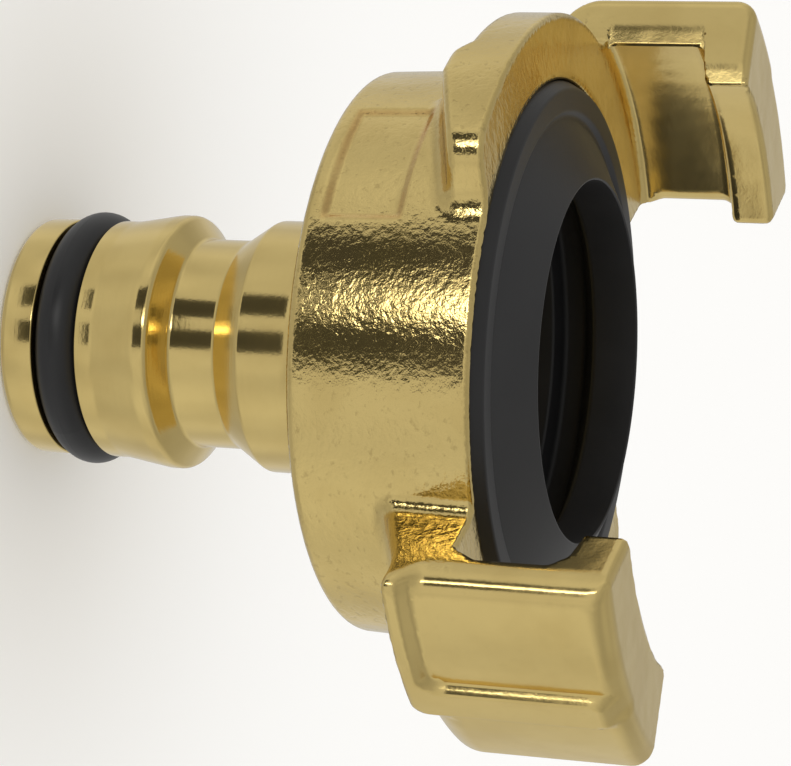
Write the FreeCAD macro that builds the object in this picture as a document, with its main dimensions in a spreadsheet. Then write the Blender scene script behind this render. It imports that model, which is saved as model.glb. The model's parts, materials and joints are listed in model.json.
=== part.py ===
import FreeCAD, Part
import Sketcher
import math
import os
import re

# Two-claw quick coupling half with a plug nipple, forged and turned in one piece from brass.
# The axis is Z. The nipple's nose stands on z = 0, and the coupling face with its claws looks up.
# X runs through the middle of the first claw; the second claw and flange are half a turn round.

# Driving sizes: alias, number in millimetres or degrees, what it is.
# Lengths on the nipple follow one another from the nose; depths and rises count from the coupling face.
DRIVING_SIZES = [
    ("nipple_radius", 8.0, "plain barrel of the nipple and its nose collar"),
    ("nose_round", 1.1, "rounding of the nipple's nose"),
    ("bore_radius", 4.4, "water way through the nipple"),
    ("bore_break", 0.5, "chamfer where the water way opens at the nose"),
    ("ring_section", 3.0, "thickness of the O-ring"),
    ("ring_proud", 0.55, "how far the O-ring stands out of the barrel"),
    ("ring_height", 3.95, "middle of the O-ring above the nose"),
    ("ring_side_gap", 0.15, "room beside the O-ring in its groove"),
    ("ring_floor_gap", 0.03, "room under the O-ring"),
    ("barrel_length", 6.7, "nose to the end of the plain barrel"),
    ("ridge_ramp", 3.15, "length of the slope up to the catch ridge"),
    ("ridge_rise", 0.53, "catch ridge above the barrel"),
    ("ridge_length", 0.9, "length of the catch ridge's crest"),
    ("ridge_round", 0.7, "rounding of the ridge's edges"),
    ("catch_ramp", 1.05, "length of the slope down into the catch groove"),
    ("catch_drop", 1.02, "floor of the catch groove below the barrel"),
    ("catch_length", 3.15, "length of the catch groove's floor"),
    ("catch_round", 0.5, "rounding of the catch groove's corners"),
    ("land_ramp", 2.15, "length of the slope up to the rear land"),
    ("land_rise", 0.39, "rear land above the barrel"),
    ("land_length", 7.2, "start of the rear land to the body's back"),
    ("root_fillet", 4.2, "fillet from the rear land into the body's back"),
    ("body_length", 11.85, "body from its back to the coupling face"),
    ("face_radius", 18.7, "body radius at the coupling face"),
    ("body_taper", 0.35, "how much narrower the forged body is at its back"),
    ("back_round", 0.7, "rounding of the body's back edge"),
    ("rim_wall", 0.65, "wall round the seal at the coupling face"),
    ("collar_depth", 2.2, "depth of the seat of the seal's collar"),
    ("collar_step", 1.75, "step in from the collar's seat to the foot's"),
    ("foot_depth", 6.4, "depth of the seat of the seal's foot"),
    ("seat_gap", 0.05, "room round the seal in its seat"),
    ("floor_width", 3.9, "floor under the seal's foot, out to in"),
    ("funnel_depth", 3.95, "depth of the funnel below the seal's foot"),
    ("shoulder_drop", 0.25, "edge of the seal below the coupling face"),
    ("shoulder_width", 0.5, "slope from the seal's edge up to its bead"),
    ("bead_width", 1.4, "width of the seal's bead"),
    ("bead_rise", 0.6, "seal's bead above the coupling face"),
    ("bead_round", 0.25, "rounding of the bead's edges"),
    ("cone_step", 0.4, "width of the step from the bead to the lip"),
    ("cone_rise", 0.25, "foot of the lip above the coupling face"),
    ("lip_width", 4.0, "width of the conical lip"),
    ("lip_rise", 2.3, "edge of the lip above the coupling face"),
    ("lip_length", 3.2, "length of the lip's inner wall"),
    ("waist_wall", 2.0, "wall of the seal at its waist"),
    ("waist_depth", 2.1, "top of the waist below the coupling face"),
    ("waist_length", 1.5, "length of the waist"),
    ("heel_wall", 3.1, "wall of the seal's heel"),
    ("heel_height", 2.3, "height of the heel"),
    ("claw_distance", 40.0, "between the inner faces of the two hooks, the coupling's rated size"),
    ("hook_depth", 2.8, "reach of a hook in from the claw's web"),
    ("hook_gap", 6.7, "coupling face to the underside of the hooks"),
    ("hook_rise", 0.4, "rise of a hook's underside towards its inner face"),
    ("hook_thickness", 3.25, "hook from its underside to the claw's tip"),
    ("hook_fillet", 0.6, "fillet between web and hook"),
    ("claw_wall", 3.4, "thickness of a claw's web"),
    ("claw_half_angle", 20.0, "half of a claw's width round the axis"),
    ("claw_root_depth", 5.75, "back of a claw at the body below the coupling face"),
    ("claw_back_depth", 2.65, "back of a claw at its outer edge below the coupling face"),
    ("claw_back_round", 2.4, "rounding of a claw's back edge"),
    ("claw_tip_round", 1.4, "rounding of a claw's outer tip edge"),
    ("claw_edge_round", 0.7, "rounding of a claw's other edges"),
    ("web_fillet", 0.9, "fillet between web and coupling face"),
    ("rim_proud", 0.4, "raised rims above the claw's outer face"),
    ("rim_edge", 5.1, "outer side of the long rim round from the claw's middle"),
    ("long_rim_width", 2.7, "width of the rim that runs up the claw"),
    ("rim_depth", 3.5, "back of the rims below the coupling face"),
    ("short_rim_width", 1.15, "width of the rim across the claw's back"),
    ("rim_tip_gap", 1.1, "end of the long rim short of the claw's tip"),
    ("rim_corner", 1.0, "rounding of the long rim's corners"),
    ("rim_round", 0.3, "rounding of the rims' edges"),
    ("flange_gap", 0.5, "room between a flange and the web of the mating claw"),
    ("flange_angle", 96.8, "free end of a flange round from its claw's middle"),
    ("flange_root_depth", 5.05, "thickness of a flange's crest at the body"),
    ("crest_depth", 4.15, "thickness of a flange's crest at its outer edge"),
    ("crest_angle", 36.0, "crest round the axis, half of it on each side of Y"),
    ("crest_round", 0.7, "rounding of the crest's step down to the rest"),
    ("rest_drop", 0.8, "how much thinner a flange is where the mating hook rests"),
    ("lead_run", 7.0, "length of the lead-in from a flange's free end"),
    ("lead_rise", 2.1, "how much thinner the lead-in makes the free end"),
    ("end_lean", 15.0, "lean of a flange's end face from the radial direction"),
    ("flange_end_round", 1.2, "rounding of a flange's free end"),
    ("mark_start", 1.8, "sunk field above the body's back"),
    ("mark_length", 4.15, "length of the sunk field along the axis"),
    ("mark_angle", 25.6, "width of the sunk field round the body"),
    ("mark_depth", 0.3, "depth of the sunk field"),
]

CLAW_COUNT = 2

document = FreeCAD.newDocument("hose_adapter")
sheet = document.addObject("Spreadsheet::Sheet", "Sizes")
for row, (alias, number, meaning) in enumerate(DRIVING_SIZES, start=1):
    sheet.set("A%d" % row, alias)
    sheet.set("B%d" % row, str(number))
    sheet.setAlias("B%d" % row, alias)
    sheet.set("C%d" % row, meaning)
document.recompute()


def bound(formula):
    """The formula with the sheet's name before each of its aliases."""
    return re.sub(r"[a-z]+(?:_[a-z]+)+", lambda found: "Sizes." + found.group(0), formula)


def number(formula):
    """What a formula of aliases comes to now."""
    return float(sheet.evalExpression(bound(formula)))


def origin_item(body, role):
    """One of a body's own origin planes or axes."""
    return [item for item in body.Origin.OriginFeatures if item.Role == role][0]


def new_sketch(body, name, plane="XZ_Plane", height=None):
    """An empty sketch on an origin plane of the body, raised along the plane's normal."""
    sketch = body.newObject("Sketcher::SketchObject", name)
    sketch.AttachmentSupport = [(origin_item(body, plane), "")]
    sketch.MapMode = "FlatFace"
    if height is not None:
        sketch.setExpression("AttachmentOffset.Base.z", bound(height))
    return sketch


def place_point(sketch, edge, end, across, up):
    """Hold one end of an edge at two formulas from the sketch's origin."""
    for kind, formula in (("DistanceX", across), ("DistanceY", up)):
        index = sketch.addConstraint(Sketcher.Constraint(kind, -1, 1, edge, end, number(formula)))
        sketch.setExpression("Constraints[%d]" % index, bound(formula))


def outline(body, name, corners, plane="XZ_Plane", height=None):
    """A closed outline of straight lines through corners given as pairs of formulas."""
    sketch = new_sketch(body, name, plane, height)
    points = [FreeCAD.Vector(number(across), number(up), 0) for across, up in corners]
    count = len(points)
    for index in range(count):
        sketch.addGeometry(Part.LineSegment(points[index], points[(index + 1) % count]))
    for index in range(count):
        sketch.addConstraint(Sketcher.Constraint("Coincident", index, 2, (index + 1) % count, 1))
    for index, (across, up) in enumerate(corners):
        place_point(sketch, index, 1, across, up)
    return sketch


def turned(
    body, name, corners, kind="PartDesign::Revolution", plane="XZ_Plane", angle="360", midplane=True
):
    """A profile of radius and height pairs, turned about the body's Z axis or cut by turning."""
    sketch = outline(body, name + "_profile", corners, plane)
    feature = body.newObject(kind, name)
    feature.Profile = sketch
    feature.ReferenceAxis = (origin_item(body, "Z_Axis"), [""])
    feature.setExpression("Angle", bound(angle))
    feature.Midplane = midplane
    document.recompute()
    return feature


def pushed(body, name, sketch, length, kind="PartDesign::Pad"):
    """A sketch pushed straight up by a formula's length, adding metal or cutting it."""
    feature = body.newObject(kind, name)
    feature.Profile = sketch
    feature.Reversed = kind == "PartDesign::Pocket"
    feature.setExpression("Length", bound(length))
    document.recompute()
    return feature


def edges_through(shape, points):
    """Names of the edges that pass through points given as three formulas each."""
    near = 0.005
    spots = [Part.Vertex(*[number(formula) for formula in point]) for point in points]
    names = []
    for index, edge in enumerate(shape.Edges, start=1):
        if any(edge.distToShape(spot)[0] < near for spot in spots):
            names.append("Edge%d" % index)
    return names


def rounded(body, name, points, size):
    """A fillet of a formula's size on the edges of the body's last feature that pass through points."""
    base = body.Tip
    feature = body.newObject("PartDesign::Fillet", name)
    feature.Base = (base, edges_through(base.Shape, points))
    feature.setExpression("Radius", bound(size))
    document.recompute()
    return feature


def arc_about_origin(sketch, radius, start, finish):
    """An arc about the sketch's origin, anticlockwise between two points given as formulas."""
    low = math.atan2(number(start[1]), number(start[0]))
    high = math.atan2(number(finish[1]), number(finish[0]))
    circle = Part.Circle(FreeCAD.Vector(0, 0, 0), FreeCAD.Vector(0, 0, 1), number(radius))
    arc = sketch.addGeometry(Part.ArcOfCircle(circle, low, high))
    sketch.addConstraint(Sketcher.Constraint("Coincident", arc, 3, -1, 1))
    index = sketch.addConstraint(Sketcher.Constraint("Radius", arc, number(radius)))
    sketch.setExpression("Constraints[%d]" % index, bound(radius))
    for end, point in ((1, start), (2, finish)):
        index = sketch.addConstraint(Sketcher.Constraint("DistanceY", -1, 1, arc, end, number(point[1])))
        sketch.setExpression("Constraints[%d]" % index, bound(point[1]))
    return arc


def polar(radius, angle):
    """Formulas for the X and Y of a point at a radius and an angle from X."""
    return ("(%s) * cos(%s)" % (radius, angle), "(%s) * sin(%s)" % (radius, angle))


def sector_plan(body, name, inner, outer, low, high, height):
    """A plan outline between two radii and two angles, with an arc on its outer side."""
    sketch = new_sketch(body, name, "XY_Plane", height)
    start, finish = polar(outer, low), polar(outer, high)
    corners = [finish, polar(inner, high), polar(inner, low), start]
    arc = arc_about_origin(sketch, outer, start, finish)
    points = [FreeCAD.Vector(number(across), number(up), 0) for across, up in corners]
    chain = [arc]
    for index in range(3):
        chain.append(sketch.addGeometry(Part.LineSegment(points[index], points[index + 1])))
    for index, item in enumerate(chain):
        following = chain[(index + 1) % len(chain)]
        sketch.addConstraint(Sketcher.Constraint("Coincident", item, 2, following, 1))
    place_point(sketch, chain[2], 1, *polar(inner, high))
    place_point(sketch, chain[2], 2, *polar(inner, low))
    return sketch


# Heights on the axis
AXIS = "0"
RIDGE_START = "(barrel_length + ridge_ramp)"
RIDGE_END = f"({RIDGE_START} + ridge_length)"
CATCH_START = f"({RIDGE_END} + catch_ramp)"
CATCH_END = f"({CATCH_START} + catch_length)"
LAND_START = f"({CATCH_END} + land_ramp)"
BODY_BACK = f"({LAND_START} + land_length)"
FACE = f"({BODY_BACK} + body_length)"
COLLAR_SEAT = f"({FACE} - collar_depth)"
FOOT_SEAT = f"({FACE} - foot_depth)"
CLAW_ROOT = f"({FACE} - claw_root_depth)"
CLAW_BACK = f"({FACE} - claw_back_depth)"
RIM_BACK = f"({FACE} - rim_depth)"
HOOK_BACK = f"({FACE} + hook_gap)"
CLAW_TIP = f"({HOOK_BACK} + hook_thickness)"

# Radii, the claws' from the claw distance and the seat's from the body
RIDGE_RADIUS = "(nipple_radius + ridge_rise)"
CATCH_RADIUS = "(nipple_radius - catch_drop)"
LAND_RADIUS = "(nipple_radius + land_rise)"
BACK_RADIUS = "(face_radius - body_taper)"
COLLAR_RADIUS = "(face_radius - rim_wall)"
FOOT_RADIUS = f"({COLLAR_RADIUS} - collar_step)"
FUNNEL_RADIUS = f"({FOOT_RADIUS} - floor_width)"
HOOK_RADIUS = "(claw_distance / 2)"
WEB_RADIUS = f"({HOOK_RADIUS} + hook_depth)"
CLAW_RADIUS = f"({WEB_RADIUS} + claw_wall)"
RIM_RADIUS = f"({CLAW_RADIUS} + rim_proud)"
FLANGE_RADIUS = f"({WEB_RADIUS} - flange_gap)"
BEYOND = f"({RIM_RADIUS} + claw_wall)"

# Coupling body, first half: one claw with its flange. Both start inside the wall of the body.
MID_WEB = f"({FACE} + {HOOK_BACK}) / 2"
MID_HOOK = f"({HOOK_BACK} + {CLAW_TIP}) / 2"
MID_HOOK_RADIUS = f"({WEB_RADIUS} + {HOOK_RADIUS}) / 2"
BELOW_CLAW = f"{CLAW_ROOT} - claw_wall"
ABOVE_CLAW = f"{CLAW_TIP} + claw_wall"

coupling = document.addObject("PartDesign::Body", "coupling_body")
coupling.Label = "coupling_body"


def both_sides(radius, height):
    """Points on a claw's two sides at a radius and a height."""
    return [polar(radius, side + "claw_half_angle") + (height,) for side in ("", "-")]


claw_plan = sector_plan(
    coupling, "claw_plan", FOOT_RADIUS, CLAW_RADIUS, "-claw_half_angle", "claw_half_angle", CLAW_ROOT
)
pushed(coupling, "claw_block", claw_plan, f"{CLAW_TIP} - {CLAW_ROOT}")

turned(coupling, "claw_back_slope", [
    (BACK_RADIUS, CLAW_ROOT),
    (CLAW_RADIUS, CLAW_BACK),
    (BEYOND, CLAW_BACK),
    (BEYOND, BELOW_CLAW),
    (BACK_RADIUS, BELOW_CLAW),
], kind="PartDesign::Groove")

turned(coupling, "claw_mouth", [
    (AXIS, FACE),
    (WEB_RADIUS, FACE),
    (WEB_RADIUS, HOOK_BACK),
    (HOOK_RADIUS, f"{HOOK_BACK} + hook_rise"),
    (HOOK_RADIUS, ABOVE_CLAW),
    (AXIS, ABOVE_CLAW),
], kind="PartDesign::Groove")

rounded(coupling, "claw_back_edge", [(CLAW_RADIUS, AXIS, CLAW_BACK)], "claw_back_round")
rounded(coupling, "claw_tip_edge", [(CLAW_RADIUS, AXIS, CLAW_TIP)], "claw_tip_round")
rounded(coupling, "web_corner", [(WEB_RADIUS, AXIS, FACE)], "web_fillet")
rounded(coupling, "hook_corner", [(WEB_RADIUS, AXIS, HOOK_BACK)], "hook_fillet")
rounded(
    coupling,
    "claw_edges",
    both_sides(CLAW_RADIUS, MID_WEB)
    + both_sides(WEB_RADIUS, MID_WEB)
    + both_sides(MID_HOOK_RADIUS, f"{HOOK_BACK} + hook_rise / 2")
    + both_sides(HOOK_RADIUS, MID_HOOK)
    + both_sides(MID_HOOK_RADIUS, CLAW_TIP)
    + [(HOOK_RADIUS, AXIS, f"{HOOK_BACK} + hook_rise"), (HOOK_RADIUS, AXIS, CLAW_TIP)],
    "claw_edge_round",
)

# Raised rims on the claw's outer side: a short one across its back and a long one up to its tip
RIM_ROOT = f"({WEB_RADIUS} + claw_wall / 8)"
LONG_RIM_LOW = f"rim_edge - long_rim_width / {RIM_RADIUS} * 180 / pi"
LONG_RIM_END = f"({CLAW_TIP} - rim_tip_gap)"
SHORT_RIM_FRONT = f"{RIM_BACK} + short_rim_width"
SHORT_RIM_MIDDLE = "(rim_edge - claw_half_angle) / 2"
RIM_STEP = f"({CLAW_RADIUS} + {RIM_RADIUS}) / 2"


def rim_point(angle, height):
    """A point on the rims' outer face, given by its angle and its height."""
    return polar(RIM_RADIUS, angle) + (height,)


short_rim_plan = sector_plan(
    coupling, "short_rim_plan", RIM_ROOT, RIM_RADIUS, "-claw_half_angle", "rim_edge", RIM_BACK
)
pushed(coupling, "short_rim", short_rim_plan, "short_rim_width")
long_rim_plan = sector_plan(
    coupling, "long_rim_plan", RIM_ROOT, RIM_RADIUS, LONG_RIM_LOW, "rim_edge", RIM_BACK
)
pushed(coupling, "long_rim", long_rim_plan, f"{LONG_RIM_END} - {RIM_BACK}")
rounded(coupling, "rim_corners", [
    polar(RIM_STEP, "rim_edge") + (RIM_BACK,),
    polar(RIM_STEP, "rim_edge") + (LONG_RIM_END,),
], "rim_corner")
rounded(coupling, "rim_edges", [
    rim_point("rim_edge", MID_WEB),
    rim_point(LONG_RIM_LOW, MID_WEB),
    rim_point(SHORT_RIM_MIDDLE, RIM_BACK),
    rim_point(SHORT_RIM_MIDDLE, SHORT_RIM_FRONT),
    rim_point("-claw_half_angle", f"{RIM_BACK} + short_rim_width / 2"),
], "rim_round")

# Flange that the mating claw slides on: lead-in at the free end, then a crest, then the rest
CREST_HEIGHT = f"({FACE} - crest_depth)"
FLANGE_ROOT = f"({FACE} - flange_root_depth)"
FLANGE_SLOPE = f"((flange_root_depth - crest_depth) / ({FLANGE_RADIUS} - {BACK_RADIUS}))"
CREST_INSIDE = f"({FLANGE_ROOT} - {FLANGE_SLOPE} * ({BACK_RADIUS} - {FOOT_RADIUS}))"
END_X = f"({FLANGE_RADIUS} * cos(flange_angle))"
END_Y = f"({FLANGE_RADIUS} * sin(flange_angle))"
END_OUTSIDE = f"({FLANGE_RADIUS} + claw_wall)"
END_INSIDE = f"({FLANGE_RADIUS} / 2)"


def end_face_x(side):
    """How far along X the end face lies at a Y given as a formula."""
    return f"{END_X} - tan(end_lean) * ({END_Y} - {side})"


def crest_point(across, along):
    """A point on the conical back of the crest over an X and a Y given as formulas."""
    radius = f"sqrt(({across}) ^ 2 + ({along}) ^ 2)"
    return (across, along, f"{FLANGE_ROOT} + {FLANGE_SLOPE} * ({radius} - {BACK_RADIUS})")


turned(coupling, "flange", [
    (FOOT_RADIUS, f"{CREST_INSIDE} + rest_drop"),
    (FLANGE_RADIUS, f"{CREST_HEIGHT} + rest_drop"),
    (FLANGE_RADIUS, FACE),
    (FOOT_RADIUS, FACE),
], angle="flange_angle + end_lean", midplane=False)
turned(coupling, "flange_crest", [
    (FOOT_RADIUS, CREST_INSIDE),
    (FLANGE_RADIUS, CREST_HEIGHT),
    (FLANGE_RADIUS, FACE),
    (FOOT_RADIUS, FACE),
], plane="YZ_Plane", angle="crest_angle")
end_plan = outline(coupling, "end_plan", [
    (end_face_x(END_OUTSIDE), END_OUTSIDE),
    (end_face_x(END_INSIDE), END_INSIDE),
    (f"-{FLANGE_RADIUS}", END_INSIDE),
    (f"-{FLANGE_RADIUS}", END_OUTSIDE),
], plane="XY_Plane", height=BODY_BACK)
pushed(coupling, "flange_end", end_plan, "body_length + hook_gap", "PartDesign::Pocket")

# The lead-in is cut along the slope of the crest's back
LEAD_START = f"({END_X} + lead_run)"
LEAD_BEYOND = f"({END_X} - lead_run)"
LEAD_BASE = f"({FLANGE_ROOT} - {FLANGE_SLOPE} * {BACK_RADIUS})"
LEAD_BELOW = f"({LEAD_BASE} - lead_run)"
lead_plan = outline(coupling, "lead_plan", [
    (LEAD_START, LEAD_BASE),
    (LEAD_BEYOND, f"{LEAD_BASE} + 2 * lead_rise"),
    (LEAD_BEYOND, LEAD_BELOW),
    (LEAD_START, LEAD_BELOW),
])
lead_in = pushed(coupling, "lead_in", lead_plan, BEYOND, "PartDesign::Pocket")
lead_in.Reversed = False
lead_in.UseCustomVector = True
lead_in.Direction = FreeCAD.Vector(0, 1, number(FLANGE_SLOPE))
lead_in.setExpression("Direction.z", bound(FLANGE_SLOPE))
document.recompute()
END_EDGE = (END_X, END_Y, f"{FACE} - (crest_depth - lead_rise) / 2")
rounded(coupling, "flange_end_corner", [END_EDGE], "flange_end_round")
MID_FLANGE = f"((face_radius + {FLANGE_RADIUS}) / 2)"
CREST_STEP = crest_point(*polar(MID_FLANGE, "90 - crest_angle / 2"))
rounded(coupling, "crest_step", [CREST_STEP], "crest_round")

# The same claw and flange again, half a turn round
copies = coupling.newObject("PartDesign::PolarPattern", "both_halves")
copies.TransformMode = "Whole shape"
copies.Axis = (origin_item(coupling, "Z_Axis"), [""])
copies.Angle = 360
copies.Occurrences = CLAW_COUNT
coupling.Tip = copies
document.recompute()

# Turned core, solid at first: nipple and body
RING_FLOOR = "nipple_radius + ring_proud - ring_section - ring_floor_gap"
RING_LOW = "ring_height - ring_section / 2 - ring_side_gap"
RING_HIGH = "ring_height + ring_section / 2 + ring_side_gap"
turned(coupling, "core", [
    (AXIS, AXIS),
    ("nipple_radius", AXIS),
    ("nipple_radius", RING_LOW),
    (RING_FLOOR, RING_LOW),
    (RING_FLOOR, RING_HIGH),
    ("nipple_radius", RING_HIGH),
    ("nipple_radius", "barrel_length"),
    (RIDGE_RADIUS, RIDGE_START),
    (RIDGE_RADIUS, RIDGE_END),
    (CATCH_RADIUS, CATCH_START),
    (CATCH_RADIUS, CATCH_END),
    (LAND_RADIUS, LAND_START),
    (LAND_RADIUS, BODY_BACK),
    (BACK_RADIUS, BODY_BACK),
    ("face_radius", FACE),
    (AXIS, FACE),
])
for name, rings, size in (
    ("nose_edge", [("nipple_radius", AXIS)], "nose_round"),
    ("ridge_edges", [(RIDGE_RADIUS, RIDGE_START), (RIDGE_RADIUS, RIDGE_END)], "ridge_round"),
    ("catch_corners", [(CATCH_RADIUS, CATCH_START), (CATCH_RADIUS, CATCH_END)], "catch_round"),
    ("land_edge", [(LAND_RADIUS, LAND_START)], "catch_round"),
    ("root_corner", [(LAND_RADIUS, BODY_BACK)], "root_fillet"),
    ("back_edge", [(BACK_RADIUS, BODY_BACK)], "back_round"),
):
    rounded(coupling, name, [(radius, AXIS, height) for radius, height in rings], size)

# Seal seat, funnel and water way, cut from the core
turned(coupling, "water_way", [
    (AXIS, AXIS),
    ("bore_radius + bore_break", AXIS),
    ("bore_radius", "bore_break"),
    ("bore_radius", f"{FOOT_SEAT} - funnel_depth"),
    (FUNNEL_RADIUS, FOOT_SEAT),
    (FOOT_RADIUS, FOOT_SEAT),
    (FOOT_RADIUS, COLLAR_SEAT),
    (COLLAR_RADIUS, COLLAR_SEAT),
    (COLLAR_RADIUS, FACE),
    (AXIS, FACE),
], kind="PartDesign::Groove")


def sunk_y(above_back):
    """Y of the sunk field's floor at a height above the body's back, under the forging's draft."""
    return f"mark_depth - ({BACK_RADIUS} + body_taper * ({above_back}) / body_length)"


# Shallow sunk field on the body's side, opposite to Y
MARK_LOW = f"{BODY_BACK} + mark_start"
MARK_HIGH = f"{MARK_LOW} + mark_length"
MARK_OUTSIDE = "-face_radius - mark_depth"
turned(coupling, "sunk_field", [
    (sunk_y("mark_start"), MARK_LOW),
    (sunk_y("mark_start + mark_length"), MARK_HIGH),
    (MARK_OUTSIDE, MARK_HIGH),
    (MARK_OUTSIDE, MARK_LOW),
], kind="PartDesign::Groove", plane="YZ_Plane", angle="mark_angle")

# Face seal: collar and foot in the body's seat, bead and conical lip above the coupling face
SEAL_COLLAR = f"({COLLAR_RADIUS} - seat_gap)"
SEAL_FOOT = f"({FOOT_RADIUS} - seat_gap)"
SHOULDER = f"{FACE} - shoulder_drop"
BEAD_TOP = f"{FACE} + bead_rise"
BEAD_OUTSIDE = f"({SEAL_COLLAR} - shoulder_width)"
BEAD_INSIDE = f"({BEAD_OUTSIDE} - bead_width)"
CONE_RADIUS = f"({BEAD_INSIDE} - cone_step)"
LIP_RADIUS = f"({CONE_RADIUS} - lip_width)"
LIP_EDGE = f"{FACE} + lip_rise"
WAIST_RADIUS = f"{FOOT_RADIUS} - waist_wall"
WAIST_TOP = f"{FACE} - waist_depth"
HEEL_RADIUS = f"{FOOT_RADIUS} - heel_wall"

seal = document.addObject("PartDesign::Body", "face_seal")
seal.Label = "face_seal"
turned(seal, "seal_ring", [
    (HEEL_RADIUS, FOOT_SEAT),
    (SEAL_FOOT, FOOT_SEAT),
    (SEAL_FOOT, COLLAR_SEAT),
    (SEAL_COLLAR, COLLAR_SEAT),
    (SEAL_COLLAR, SHOULDER),
    (BEAD_OUTSIDE, BEAD_TOP),
    (BEAD_INSIDE, BEAD_TOP),
    (CONE_RADIUS, f"{FACE} + cone_rise"),
    (LIP_RADIUS, LIP_EDGE),
    (LIP_RADIUS, f"{LIP_EDGE} - lip_length"),
    (WAIST_RADIUS, WAIST_TOP),
    (WAIST_RADIUS, f"{WAIST_TOP} - waist_length"),
    (HEEL_RADIUS, f"{FOOT_SEAT} + heel_height"),
])
rounded(seal, "bead_edges", [
    (BEAD_OUTSIDE, AXIS, BEAD_TOP),
    (BEAD_INSIDE, AXIS, BEAD_TOP),
    (SEAL_COLLAR, AXIS, SHOULDER),
], "bead_round")

# O-ring of the plug nipple
SECTION_RADIUS = "ring_section / 2"
RING_MIDDLE = f"nipple_radius + ring_proud - {SECTION_RADIUS}"
ring = document.addObject("PartDesign::Body", "plug_o_ring")
ring.Label = "plug_o_ring"
ring_profile = new_sketch(ring, "ring_section_profile")
centre = FreeCAD.Vector(number(RING_MIDDLE), number("ring_height"), 0)
circle = ring_profile.addGeometry(Part.Circle(centre, FreeCAD.Vector(0, 0, 1), number(SECTION_RADIUS)))
place_point(ring_profile, circle, 3, RING_MIDDLE, "ring_height")
index = ring_profile.addConstraint(Sketcher.Constraint("Radius", circle, number(SECTION_RADIUS)))
ring_profile.setExpression("Constraints[%d]" % index, bound(SECTION_RADIUS))
hoop = ring.newObject("PartDesign::Revolution", "ring_hoop")
hoop.Profile = ring_profile
hoop.ReferenceAxis = (origin_item(ring, "Z_Axis"), [""])
hoop.Angle = 360
document.recompute()

# Every object has to be sound before anything is written
for item in document.Objects:
    if "Invalid" in item.State or "Error" in item.State:
        raise RuntimeError("%s failed" % item.Name)
os.makedirs("parts", exist_ok=True)
for part in (coupling, seal, ring):
    shape = part.Shape
    if shape.isNull() or not shape.isValid() or len(shape.Solids) != 1:
        raise RuntimeError("%s has no sound single solid" % part.Label)
    print(part.Label, round(shape.Volume, 2))
    shape.exportStep("parts/%s.step" % part.Label)
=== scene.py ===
import json
import math
import bmesh
import bpy
import numpy as np
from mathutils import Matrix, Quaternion, Vector


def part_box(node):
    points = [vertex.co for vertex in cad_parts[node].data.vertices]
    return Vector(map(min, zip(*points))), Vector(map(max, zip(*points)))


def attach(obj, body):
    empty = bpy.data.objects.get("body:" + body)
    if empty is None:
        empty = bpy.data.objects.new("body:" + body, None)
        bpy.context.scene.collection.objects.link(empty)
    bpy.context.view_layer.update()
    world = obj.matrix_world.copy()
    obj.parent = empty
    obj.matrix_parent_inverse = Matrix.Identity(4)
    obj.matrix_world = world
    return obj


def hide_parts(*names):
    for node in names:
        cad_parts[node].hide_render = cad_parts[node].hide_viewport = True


# Brass claw coupling half with a plug nipple, standing on its nose; the photograph shows it lying,
# so the camera is rolled by a quarter turn. Shapes below are in millimetres, X through the first claw.

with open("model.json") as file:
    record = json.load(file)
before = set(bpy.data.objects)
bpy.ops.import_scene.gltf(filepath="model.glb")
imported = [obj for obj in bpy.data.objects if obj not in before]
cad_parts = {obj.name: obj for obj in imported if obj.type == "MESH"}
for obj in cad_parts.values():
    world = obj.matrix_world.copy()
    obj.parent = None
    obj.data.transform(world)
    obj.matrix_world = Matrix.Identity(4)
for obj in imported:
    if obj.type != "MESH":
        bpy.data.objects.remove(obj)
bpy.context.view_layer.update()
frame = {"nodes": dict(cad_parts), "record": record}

MM = 0.001


def mount(name):
    """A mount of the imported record."""
    return next(item for item in frame["record"]["mounts"] if item["name"] == name)


# Sizes read from the frame
FACE = mount("coupling_face")["pos_m"][2] / MM
BORE_RADIUS = mount("water_bore")["dims"]["r_mm"]
LAND_RADIUS = mount("plug")["dims"]["r_mm"]
CLAW_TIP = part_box("coupling_body")[1].z / MM
FLANGE_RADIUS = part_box("coupling_body")[1].y / MM
RIM_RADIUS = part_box("coupling_body")[1].x / MM
SEAL_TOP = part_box("face_seal")[1].z / MM
SEAL_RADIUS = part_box("face_seal")[1].x / MM
FOOT_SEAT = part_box("face_seal")[0].z / MM
RING_LOW, RING_HIGH = (corner.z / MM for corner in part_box("plug_o_ring"))

# Forged body
BODY_BACK = 24.3
FACE_RADIUS = 18.7
BACK_RADIUS = 18.35
BACK_ROUND = 0.7
FACE_ROUND = 0.3

# The second claw and flange are the first turned by half a turn, which changes the signs of X and Y
HALF_TURNS = (1, -1)

# Claws
HALF_ANGLE = math.radians(20)
CLAW_RADIUS = RIM_RADIUS - 0.4
PANEL_RADIUS = CLAW_RADIUS - 0.3
WEB_RADIUS = 22.8
HOOK_RADIUS = 20.0
HOOK_BACK = 42.85
HOOK_RISE = 0.4
HOOK_ROUND = 0.4
HOOK_FILLET = 0.6
WEB_FILLET = 0.6
CLAW_ROOT = 30.4
CLAW_BACK = 33.5
CLAW_BACK_ROUND = 1.8
TIP_ROUND = 1.4
SIDE_ROUND = 0.6
ROOT_BLEND = 0.9

# Crowned bevel on a claw's right outer edge, as seen from the axis
BEVEL_ANGLE = math.radians(-66)
BEVEL_DEPTH = 0.9
BEVEL_BULGE = 5.0
BEVEL_REACH = 1.0
BEVEL_ROUND = 0.45
BEVEL_FROM, BEVEL_TO = CLAW_BACK - 0.5, CLAW_BACK + 1.6

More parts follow.
